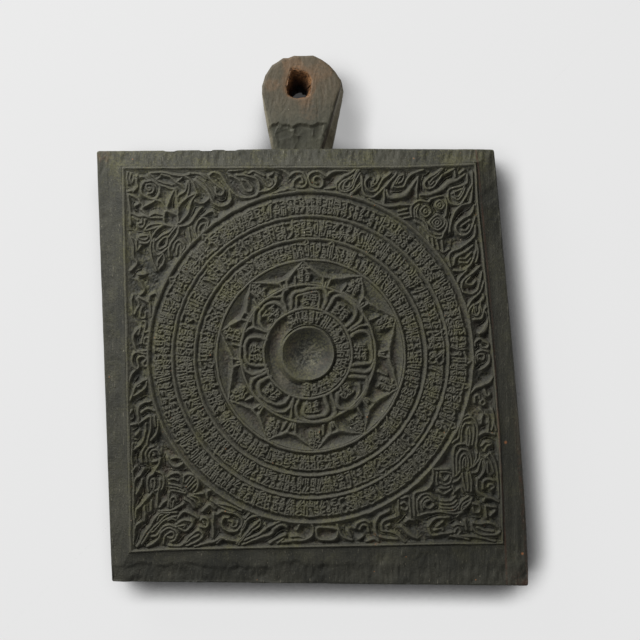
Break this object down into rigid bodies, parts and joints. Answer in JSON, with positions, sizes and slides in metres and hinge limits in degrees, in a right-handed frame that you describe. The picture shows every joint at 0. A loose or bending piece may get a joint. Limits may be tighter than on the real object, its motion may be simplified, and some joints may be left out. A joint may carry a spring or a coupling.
{
  "type": "printing block",
  "caption": "Hand-carved wooden printing block with a pierced handle: fine relief in rings round a star, a lotus and a small cup, with scrolls, flames and leaves in the corners",
  "frame": {"origin": "middle of the bottom of the bounding box, the block lying on its plain back", "axes": "+Z out of the carved printing face, +Y along the grain from the board towards the handle, +X to the right as the carved face is seen with the handle up"},
  "size_m": [0.1848, 0.2276, 0.03],
  "materials": {
    "stained_wood": "ink-stained, dry, slightly satin",
    "worn_wood": "ink-stained and rubbed, satin",
    "handled_wood": "stained wood worn brown by the hand, satin"
  },
  "bodies": {
    "root": {"block_body": "stained_wood", "handle": "handled_wood", "border_line": "worn_wood", "outer_ring": "worn_wood", "middle_ring": "worn_wood", "inner_ring": "worn_wood", "star_ring": "worn_wood", "lotus_ring": "worn_wood", "hub_ring": "worn_wood", "outer_band": "stained_wood", "middle_band": "stained_wood", "inner_band": "stained_wood", "hub_band": "stained_wood", "star": "worn_wood", "lotus": "worn_wood", "cup": "worn_wood", "corner_top_left": "stained_wood", "corner_top_right": "stained_wood", "corner_bottom_right": "stained_wood", "corner_bottom_left": "stained_wood", "edge_top": "stained_wood", "edge_right": "stained_wood", "edge_bottom": "stained_wood", "edge_left": "stained_wood"}
  },
  "joints": []
}
